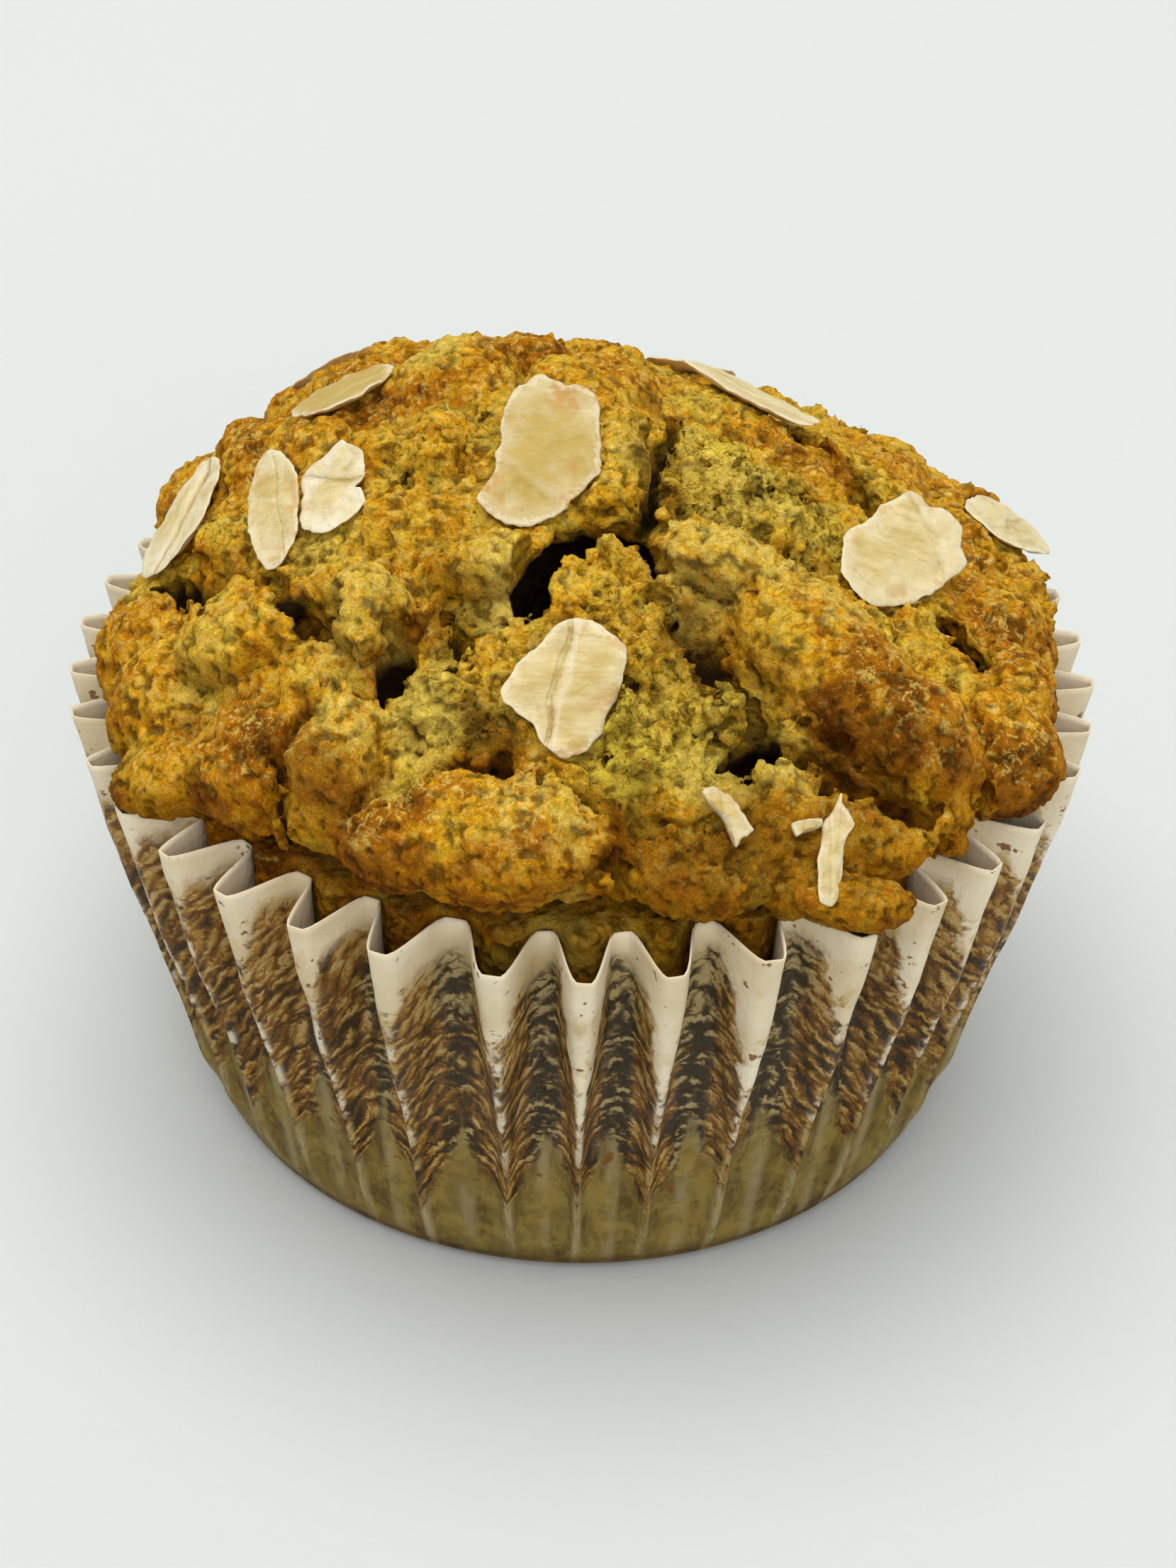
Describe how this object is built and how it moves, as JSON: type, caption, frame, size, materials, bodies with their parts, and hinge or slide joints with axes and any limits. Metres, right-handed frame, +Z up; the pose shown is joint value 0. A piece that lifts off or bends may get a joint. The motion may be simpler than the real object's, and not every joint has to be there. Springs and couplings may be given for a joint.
{
  "type": "muffin",
  "caption": "Domed banana and oat muffin with a cracked, lumpy golden crust and rolled oats on top, baked in a pleated white paper case.",
  "frame": {"origin": "middle of the paper case's flat bottom, on the surface that the muffin stands on", "axes": "+Z up, -Y towards the big front crust lump, +X to the right when looking along +Y"},
  "size_m": [0.0646, 0.0648, 0.0505],
  "materials": {
    "crust": "matte",
    "oat": "matte",
    "paper": "matte"
  },
  "bodies": {
    "root": {"paper_case": "paper", "muffin": "crust", "oat_flake_01": "oat", "oat_flake_02": "oat", "oat_flake_03": "oat", "oat_flake_04": "oat", "oat_flake_05": "oat", "oat_flake_06": "oat", "oat_flake_07": "oat", "oat_flake_08": "oat", "oat_flake_09": "oat", "oat_flake_10": "oat", "oat_flake_11": "oat", "oat_flake_12": "oat"}
  },
  "joints": []
}
